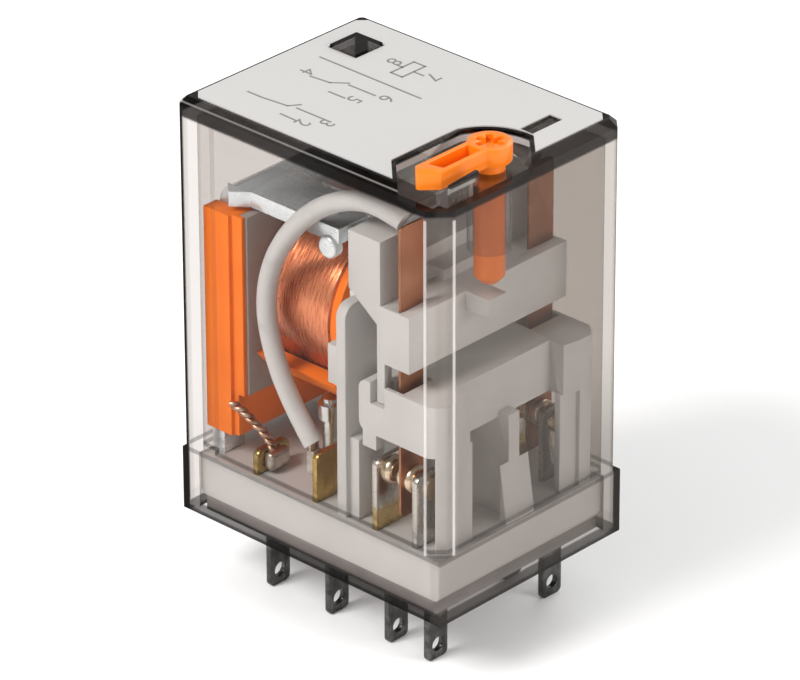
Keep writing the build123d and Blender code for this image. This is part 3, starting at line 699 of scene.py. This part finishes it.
class Bench:
    """The modelling tools: what is done by hand with operators."""

    def __init__(self, frame: dict) -> None:
        """Keeps the frame and the shared finishes."""
        self.frame, self.finishes = frame, Finishes()

    def clear(self) -> None:
        """Deselects everything."""
        if bpy.context.object and bpy.context.object.mode != "OBJECT":
            bpy.ops.object.mode_set(mode="OBJECT")
        bpy.ops.object.select_all(action="DESELECT")

    def take(self, piece: bpy.types.Object) -> bpy.types.Object:
        """Selects one piece alone and makes it active.

        Args:
            piece: the piece to select.

        Returns:
            The same piece.
        """
        self.clear()
        piece.select_set(True)
        bpy.context.view_layer.objects.active = piece
        return piece

    def name(self, name: str) -> bpy.types.Object:
        """Names the piece that the last operator made.

        Args:
            name: its new name.

        Returns:
            The piece.
        """
        piece = bpy.context.object
        piece.name = piece.data.name = name
        return piece

    def settle(self, piece: bpy.types.Object) -> bpy.types.Object:
        """Moves a piece's place into its mesh, so that its object sits at the origin.

        Args:
            piece: the piece to settle.

        Returns:
            The same piece.
        """
        self.take(piece)
        bpy.ops.object.transform_apply(location=True, rotation=True, scale=True)
        return piece

    def apply(self, piece: bpy.types.Object, kind: str, **settings: object) -> None:
        """Adds a modifier to the piece and applies it.

        Args:
            piece: the piece to change.
            kind: the modifier's type.
            **settings: the modifier's properties.
        """
        self.take(piece)
        modifier = piece.modifiers.new(kind.lower(), kind)
        for key, value in settings.items():
            setattr(modifier, key, value)
        bpy.ops.object.modifier_apply(modifier=modifier.name)

    def block(self, name: str, low: Point, high: Point) -> bpy.types.Object:
        """A box between two corners.

        Args:
            name: the box's name.
            low: its lowest corner in millimetres.
            high: its highest corner in millimetres.

        Returns:
            The box.
        """
        self.clear()
        bpy.ops.mesh.primitive_cube_add(size=1.0)
        piece = self.name(name)
        piece.scale = [(h - l) * MM for l, h in zip(low, high)]
        piece.location = [(h + l) / 2 * MM for l, h in zip(low, high)]
        return self.settle(piece)

    def soften(self, piece: bpy.types.Object, width: float, segments: int = 2) -> bpy.types.Object:
        """Rounds the sharp edges of a piece.

        Args:
            piece: the piece to change.
            width: the rounding in millimetres.
            segments: how many faces the rounding has.

        Returns:
            The same piece.
        """
        self.apply(piece, "BEVEL", width=width * MM, segments=segments, limit_method="ANGLE",
                   angle_limit=math.radians(32), use_clamp_overlap=True, miter_outer="MITER_ARC")
        return self.smooth(piece)

    def smooth(self, piece: bpy.types.Object, angle: float = 40.0) -> bpy.types.Object:
        """Shades a piece smooth, apart from its sharp edges.

        Args:
            piece: the piece to shade.
            angle: the angle in degrees from which an edge is sharp.

        Returns:
            The same piece.
        """
        self.take(piece)
        bpy.ops.object.shade_smooth_by_angle(angle=math.radians(angle))
        return piece

    def from_node(self, node: str, name: str) -> bpy.types.Object:
        """A merged copy of a construction node, with its flat faces made whole.

        Args:
            node: the node's name.
            name: the new piece's name.

        Returns:
            The copy, at the origin.
        """
        piece = bpy.data.objects.new(name, self.frame["nodes"][node].data.copy())
        bpy.context.scene.collection.objects.link(piece)
        piece.data.materials.clear()
        self.take(piece)
        bpy.ops.object.mode_set(mode="EDIT")
        bpy.ops.mesh.select_all(action="SELECT")
        bpy.ops.mesh.remove_doubles(threshold=2e-6)
        bpy.ops.mesh.customdata_custom_splitnormals_clear()
        bpy.ops.mesh.dissolve_limited(angle_limit=math.radians(0.6))
        bpy.ops.object.mode_set(mode="OBJECT")
        return piece

    def melt(self, node: str, name: str, factor: float, rounds: int) -> None:
        """A soft bead of solder in the place of a construction node.

        Args:
            node: the node that it replaces.
            name: the bead's name.
            factor: how far each round of smoothing goes.
            rounds: how many rounds there are.
        """
        bead = self.from_node(node, name)
        self.apply(bead, "REMESH", mode="VOXEL", voxel_size=0.08 * MM)
        self.apply(bead, "SMOOTH", factor=factor, iterations=rounds)
        self.smooth(bead, 180)
        self.dress(bead, Paint.SOLDER, "solder", "root", (node,))

    def dress(self, piece: bpy.types.Object, finish: object, slot: str, body: str = "root",
              nodes: Iterable[str] = ()) -> bpy.types.Object:
        """Gives a finished piece its material and body, and hides the nodes it stands for.

        Args:
            piece: the finished piece.
            finish: its finish.
            slot: not used.
            body: the body it moves with.
            nodes: the construction nodes that it replaces.

        Returns:
            The same piece.
        """
        material = self.finishes.get(finish)
        piece.data.materials.clear()
        piece.data.materials.append(material)
        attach(piece, body)
        if nodes:
            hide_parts(*nodes)
        LOG.info("%s rides on %s in %s", piece.name, body, material.name)
        return piece

    def coat(self, node: str, finish: object) -> None:
        """Puts a finish on a construction node that keeps its shape.

        Args:
            node: the node's name.
            finish: its finish.
        """
        data = self.frame["nodes"][node].data
        material = self.finishes.get(finish)
        if not data.materials:
            data.materials.append(material)
        for place in range(len(data.materials)):
            data.materials[place] = material
        LOG.info("%s keeps its shape in %s", node, material.name)

    def curve(self, name: str, points: list[Point], radius: float) -> bpy.types.Object:
        """A round cord on one smooth line.

        Args:
            name: the curve's name.
            points: its control points in metres.
            radius: the cord's radius in metres.

        Returns:
            The curve's object.
        """
        data = bpy.data.curves.new(name, "CURVE")
        data.dimensions = "3D"
        data.bevel_depth, data.bevel_resolution, data.resolution_u = radius, 6, 12
        data.use_fill_caps = True
        spline = data.splines.new("NURBS")
        spline.points.add(len(points) - 1)
        for point, place in zip(spline.points, points):
            point.co = (*place, 1.0)
        spline.order_u = 3
        spline.use_endpoint_u = True
        piece = bpy.data.objects.new(name, data)
        bpy.context.scene.collection.objects.link(piece)
        return piece


def span(node: str) -> tuple[Vector, Vector]:
    """A construction node's box.

    Args:
        node: the node's name.

    Returns:
        Its lowest and highest corners in millimetres.
    """
    low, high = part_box(node)
    return low / MM, high / MM


# ----------------------------------------------------------------- sub-assemblies

@dataclass
class Enclosure:
    """Clear case, marking sheet with its print, and the break-off pip."""

    bench: Bench
    line: float = 0.17
    lift: float = 0.02
    digit_height: float = 1.9
    top_wall: float = 1.9
    skirt: float = 5.5
    pip_box: tuple[Point, Point] = ((12.75, -8.4, 35.05), (13.15, -5.3, 36.75))
    pip_cap: tuple[float, float] = (36.45, 36.8)
    pip_rise: float = 0.25
    pip_edge: float = 0.12
    digits: tuple[tuple[str, float, float], ...] = (
        ("1", -9.6, -6.2), ("3", -1.9, -6.1), ("2", -3.3, -7.3), ("4", -9.3, -0.5),
        ("6", -1.5, 0.1), ("5", -3.2, -1.7), ("8", -5.6, 5.3), ("7", -1.5, 5.3))
    strokes: tuple[tuple[tuple[float, float], ...], ...] = (
        ((-8.85, -6.23), (-6.12, -5.95), (-5.53, -5.12)), ((-5.4, -5.75), (-1.79, -5.75)),
        ((-5.61, -7.3), (-3.9, -7.35)),
        ((-8.58, -1.0), (-6.6, -0.8), (-5.44, 0.14)), ((-5.3, -0.1), (-2.5, -0.1)),
        ((-5.61, -2.0), (-3.9, -2.0)), ((-10.4, 2.0), (0.4, 1.9)),
        ((-4.4, 3.7), (-4.4, 6.3), (-3.2, 6.3), (-3.2, 3.7), (-4.4, 3.7)),
        ((-5.4, 5.0), (-4.4, 5.0)), ((-3.2, 5.0), (-2.2, 5.0)))

    def build(self) -> None:
        """Dresses the case and adds what is printed and moulded on it."""
        high = span("cover")[1] * MM
        sheet_low, sheet_high = span("label")
        flat_top, skirt = sheet_low.z, self.skirt * MM
        case = SmokyCase(high.x, high.y, (flat_top - self.top_wall) * MM, skirt, flat_top * MM)
        self.bench.coat("cover", case)
        self.bench.coat("label", Sheet("marking_sheet", (0.50, 0.49, 0.48)))
        self.print_lines(sheet_high.z)
        self.print_digits(sheet_high.z)
        # The pip's finish puts painted shade on its top.
        below, above = self.pip_cap
        self.pip(SmokyCase(high.x, high.y, below * MM, skirt, above * MM, "pip_clear"))

    def print_lines(self, top: float) -> None:
        """The wiring diagram's strokes, each a thin raised bar.

        Args:
            top: the marking sheet's upper face in millimetres.
        """
        for number, stroke in enumerate(self.strokes):
            for part, (start, end) in enumerate(zip(stroke, stroke[1:])):
                length = math.dist(start, end)
                bar = self.bench.block(f"print_line_{number}_{part}", (0, -self.line / 2, 0),
                                       (length + self.line / 2, self.line / 2, self.lift))
                bar.rotation_euler.z = math.atan2(end[1] - start[1], end[0] - start[0])
                bar.location = (start[0] * MM, start[1] * MM, (top - 0.002) * MM)
                self.bench.settle(bar)
                self.bench.dress(bar, Paint.INK, "label_sheet")

    def print_digits(self, top: float) -> None:
        """Plain pin numbers beside the strokes.

        Args:
            top: the marking sheet's upper face in millimetres.
        """
        for text, x, y in self.digits:
            self.bench.clear()
            bpy.ops.object.text_add(location=(x * MM, y * MM, top * MM))
            words = self.bench.name(f"pin_number_{text}")
            words.data.body, words.data.size = text, self.digit_height * MM
            words.data.extrude = self.lift / 2 * MM
            words.data.align_x, words.data.align_y = "CENTER", "CENTER"
            words.rotation_euler.z = math.radians(-90)
            self.bench.take(words)
            bpy.ops.object.convert(target="MESH")
            self.bench.settle(words)
            self.bench.dress(words, Paint.INK, "label_sheet")

    def pip(self, case: SmokyCase) -> None:
        """The clear stop beside the lever's arm that is broken off before the lever is turned.

        Args:
            case: the clear finish, with painted shade along its top.
        """
        pip = self.bench.block("break_off_pip", *self.pip_box)
        self.bench.take(pip)
        bpy.ops.object.mode_set(mode="EDIT")
        mesh = bmesh.from_edit_mesh(pip.data)
        for corner in mesh.verts:
            corner.select_set(corner.co.z > 36 * MM and corner.co.y > -6 * MM)
        mesh.select_flush(True)
        bmesh.update_edit_mesh(pip.data)
        bpy.ops.transform.translate(value=(0, 0, self.pip_rise * MM))
        bpy.ops.object.mode_set(mode="OBJECT")
        self.bench.soften(pip, self.pip_edge)
        self.bench.dress(pip, case, "clear_case")


@dataclass
class Rounded:
    """A list of construction nodes that only need their edges rounded."""

    bench: Bench
    nodes: tuple[tuple[str, object, str, str, float], ...]

    def build(self) -> None:
        """Replaces each node by a copy with soft edges."""
        for node, finish, slot, body, width in self.nodes:
            piece = self.bench.from_node(node, f"{node}_shell")
            self.bench.soften(piece, width)
            self.bench.dress(piece, finish, slot, body, (node,))


@dataclass
class Coil:
    """The winding's turns and the wires to the coil pins."""

    bench: Bench
    turns: int = 44
    ridge: float = 0.05
    droop: float = 0.12
    depth: float = 3.5
    around: int = 72
    strand: float = 0.21
    lay: float = 1.5
    route: tuple[Point, ...] = ((-9.8, -8.95, 10.3), (-8.9, -8.85, 10.1), (-8.0, -8.5, 9.3), (-7.2, -8.0, 8.3),
                                (-6.65, -7.6, 7.3), (-6.55, -7.4, 6.2))

    def build(self) -> None:
        """Spins the winding and twists both wires."""
        self.winding()
        for pole, side in POLES.items():
            self.wire(pole, side)
            self.bench.melt(f"coil_joint_{pole}", f"coil_solder_{pole}", 0.8, 9)

    def winding(self) -> None:
        """One barrel of ridged turns, closed at both ends against the flanges."""
        low, high = span("coil_winding")
        centre = (low + high) / 2
        radius = (high.z - low.z) / 2
        self.bench.clear()
        bpy.ops.mesh.primitive_grid_add(x_subdivisions=self.turns * 2, y_subdivisions=1, size=1.0)
        barrel = self.bench.name("copper_turns")
        bpy.ops.object.mode_set(mode="EDIT")
        mesh = bmesh.from_edit_mesh(barrel.data)
        bmesh.ops.delete(mesh, geom=[v for v in mesh.verts if v.co.y < 0], context="VERTS")
        row = sorted(mesh.verts, key=lambda v: v.co.x)
        for number, point in enumerate(row):
            sag = self.droop * (2 * number / (len(row) - 1) - 1) ** 6
            reach = radius - sag - (self.ridge if number % 2 else 0.0)
            if number in (0, len(row) - 1):
                reach = radius - self.depth
            x = low.x + (high.x - low.x) * number / (len(row) - 1)
            point.co = (x * MM, 0.0, (centre.z + reach) * MM)
        bmesh.update_edit_mesh(barrel.data)
        bpy.ops.mesh.select_all(action="SELECT")
        bpy.ops.mesh.spin(steps=self.around, angle=math.tau, center=(0, 0, centre.z * MM), axis=(1, 0, 0))
        bpy.ops.mesh.select_all(action="SELECT")
        bpy.ops.mesh.remove_doubles(threshold=2e-6)
        bpy.ops.mesh.fill_holes(sides=100)
        bpy.ops.mesh.select_all(action="SELECT")
        bpy.ops.mesh.normals_make_consistent(inside=False)
        bpy.ops.object.mode_set(mode="OBJECT")
        self.bench.smooth(barrel, 70)
        self.bench.dress(barrel, Winding(), "enamelled_copper", "root", ("coil_winding",))

    def wire(self, pole: str, side: float) -> None:
        """Two bare strands twisted round each other along the wire's route.

        Args:
            pole: the pole's number.
            side: 1 or -1, the side that it is on.
        """
        points = [(x * MM, -side * y * MM, z * MM) for x, y, z in self.route]
        guide = self.bench.curve("guide", points, 0.0)
        line = bpy.data.meshes.new_from_object(guide)
        path = [v.co.copy() for v in line.vertices]
        bpy.data.objects.remove(guide)
        ahead = (path[-1] - path[0]).normalized()
        aside = ahead.cross(Vector((0, 0, 1))).normalized()
        above = aside.cross(ahead)
        for strand in range(2):
            turn, coil, last = math.pi * strand, [], path[0]
            for place in path:
                turn += math.tau * (place - last).length / (self.lay * MM)
                offset = aside * math.cos(turn) + above * math.sin(turn)
                coil.append(tuple(place + offset * self.strand * MM * 0.9))
                last = place
            piece = self.bench.curve(f"coil_strand_{pole}_{strand}", coil, self.strand * MM)
            replaced = (f"coil_wire_{pole}",) if strand == 0 else ()
            self.bench.dress(piece, Paint.TWIST, "bare_copper", "root", replaced)



@dataclass
class Leads:
    """The two white flexible leads from the common plates to the leaves."""

    bench: Bench
    radius: float = 0.8
    count: int = 7
    strand: float = 0.12
    fan: tuple[Point, ...] = ((-0.1, 0.38, 9.2), (0.12, 0.45, 8.4), (0.2, 0.42, 7.5))
    route: tuple[Point, ...] = (
        (-1.5, -8.25, 9.5), (-3.4, -8.3, 11.8), (-5.4, -8.3, 15.2), (-6.5, -8.3, 19.2), (-6.0, -8.3, 23.2),
        (-4.0, -8.3, 26.9), (-1.1, -8.25, 30.0), (2.2, -8.1, 31.9), (5.0, -7.7, 32.3), (7.2, -7.25, 31.4))

    def build(self) -> None:
        """Makes each lead and the soldered strands at its ends."""
        for pole, side in POLES.items():
            points = [(x * MM, -side * y * MM, z * MM) for x, y, z in self.route]
            lead = self.bench.curve(f"sleeved_lead_{pole}", points, self.radius * MM)
            self.bench.dress(lead, SoftSleeve(), "lead_sleeve", "root", (f"flexible_lead_{pole}",))
            self.strands(pole)
            self.bench.melt(f"lead_lower_joint_{pole}", f"common_solder_{pole}", 0.9, 12)
            self.bench.coat(f"lead_upper_joint_{pole}", Paint.SOLDER)

    def strands(self, pole: str) -> None:
        """The bundle of tinned strands that fans onto the common plate.

        Args:
            pole: the pole's number.
        """
        low, high = span(f"lead_lower_joint_{pole}")
        x, y, _ = (low + high) / 2
        for number in range(self.count):
            spread = 2 * number / (self.count - 1) - 1
            points = [(self.route[0][0] + 0.12 * spread, y + 0.3 * spread, 9.9)]
            points += [(x + out, y + wide * spread, z) for out, wide, z in self.fan]
            strand = self.bench.curve(f"tinned_strand_{pole}_{number}",
                                      [tuple(c * MM for c in p) for p in points], self.strand * MM)
            self.bench.dress(strand, Paint.TINNED, "solder", "root", ())


@dataclass
class Studio:
    """Pale floor, soft lights and the camera."""

    bench: Bench
    camera_place: Point = (0.295044, -0.312783, 0.243831)
    azimuth: float = 43.331
    elevation: float = 27.927
    roll: float = -0.183
    lens: float = 281.68
    sky: float = 0.58
    floor_size: float = 3.0
    floor_gap: float = 0.00002
    aim: Point = (0.0, 0.0, 0.015)
    lights: tuple[tuple[str, Point, float, float, Colour], ...] = (
        ("key", (-0.10, -0.36, 0.38), 0.20, 2.35, (1.0, 0.99, 0.975)),
        ("side", (0.46, 0.10, 0.16), 0.26, 1.2, (1.0, 0.99, 0.98)),
        ("back", (-0.10, 0.42, 0.32), 0.30, 0.7, (1.0, 1.0, 1.0)))

    def build(self) -> None:
        """Sets the stage."""
        self.floor()
        self.light()
        self.look()

    def floor(self) -> None:
        """A wide pale floor under the pins."""
        self.bench.clear()
        bpy.ops.mesh.primitive_plane_add(size=self.floor_size, location=(0, 0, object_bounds()[0].z - self.floor_gap))
        floor = self.bench.name("floor")
        floor.data.materials.append(self.bench.finishes.get(Sheet("studio_floor", (1.0, 1.0, 1.0), 0.6)))
        floor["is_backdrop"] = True

    def light(self) -> None:
        """Area lights that face the object, and a white sky."""
        for name, place, size, power, colour in self.lights:
            data = bpy.data.lights.new(name, "AREA")
            data.shape, data.size, data.energy, data.color = "SQUARE", size, power, colour
            lamp = bpy.data.objects.new(name, data)
            lamp.location = place
            lamp.rotation_euler = (Vector(self.aim) - Vector(place)).to_track_quat("-Z", "Y").to_euler()
            bpy.context.scene.collection.objects.link(lamp)
        world = bpy.data.worlds.new("studio")
        world.use_nodes = True
        background = world.node_tree.nodes["Background"].inputs
        background["Color"].default_value = (1.0, 1.0, 1.0, 1.0)
        background["Strength"].default_value = self.sky
        bpy.context.scene.world = world
        bpy.context.scene.view_settings.view_transform = "Standard"

    def look(self) -> None:
        """The camera, from above the corner beside the lever."""
        data = bpy.data.cameras.new("camera")
        data.sensor_width, data.lens = 36.0, self.lens
        data.clip_start, data.clip_end = 0.01, 20.0
        camera = bpy.data.objects.new("camera", data)
        camera.matrix_world = (Matrix.Translation(self.camera_place)
                               @ Matrix.Rotation(math.radians(self.azimuth), 4, "Z")
                               @ Matrix.Rotation(math.radians(90 - self.elevation), 4, "X")
                               @ Matrix.Rotation(math.radians(self.roll), 4, "Z"))
        bpy.context.scene.collection.objects.link(camera)
        bpy.context.scene.camera = camera


def rounded_nodes() -> tuple[tuple[str, object, str, str, float], ...]:
    """Lists the pieces that only need their edges rounded.

    Returns:
        Node, finish, slot, body and rounding in millimetres of each.
    """
    rows = [("contact_block", Paint.GREY, "grey_moulding", "root", 0.12),
            ("barrier_wall", Paint.GREY, "grey_moulding", "root", 0.12),
            ("card", Paint.GREY, "grey_moulding", "armature", 0.12),
            ("bobbin", Paint.ORANGE, "orange_moulding", "root", 0.15),
            ("insulating_plate", Paint.FILM_IN_SHADE, "film_grey", "root", 0.1),
            ("yoke", Paint.ZINC, "zinc_steel", "root", 0.12),
            ("armature", Paint.ZINC, "zinc_steel", "armature", 0.1),
            ("test_lever", Paint.LEVER, "orange_moulding", "lever", 0.14),
            ("test_post", Paint.LEVER, "orange_moulding", "push_post", 0.08),
            ("indicator_flag", Paint.FLAG, "flag_orange", "armature", 0.06)]
    for pole in POLES:
        rows.append((f"coil_terminal_{pole}", BladeMetal("coil_pin_metal", (0.42, 0.29, 0.10), 0.02),
                     "plated_brass", "root", 0.06))
        rows.append((f"com_terminal_{pole}", BladeMetal("common_plate_metal", (0.50, 0.33, 0.10), 0.02),
                     "plated_brass", "root", 0.06))
        rows.append((f"no_terminal_{pole}", BladeMetal("open_plate_metal", (0.55, 0.40, 0.18), 0.0068),
                     "plated_brass", "root", 0.08))
        rows.append((f"nc_terminal_{pole}", BladeMetal("closed_plate_metal", (0.55, 0.53, 0.50), 0.0065),
                     "plated_brass", "root", 0.08))
    return tuple(rows)


def coat_plain_nodes(bench: Bench) -> None:
    """Gives a finish to each node whose own shape shows.

    Args:
        bench: the modelling tools.
    """
    finishes = {"base": Paint.GREY, "base_seal": Paint.RESIN, "core": Paint.IRON, "shading_ring": Paint.COPPER,
                "return_spring": Paint.SPRING, "support_rivets": Paint.BRIGHT}
    for pole in POLES:
        finishes[f"moving_spring_{pole}"] = Paint.LEAF
        for kind in ("moving", "no", "nc"):
            finishes[f"{kind}_contact_{pole}"] = Paint.SILVER
    for node, finish in finishes.items():
        bench.coat(node, finish)


def main() -> None:
    """Builds the sub-assemblies in order."""
    logging.basicConfig(level=logging.INFO, format="%(message)s")
    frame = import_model()
    bench = Bench(frame)
    Studio(bench).build()
    Enclosure(bench).build()
    Rounded(bench, rounded_nodes()).build()
    coat_plain_nodes(bench)
    Coil(bench).build()
    Leads(bench).build()


if __name__ == "__main__":
    main()
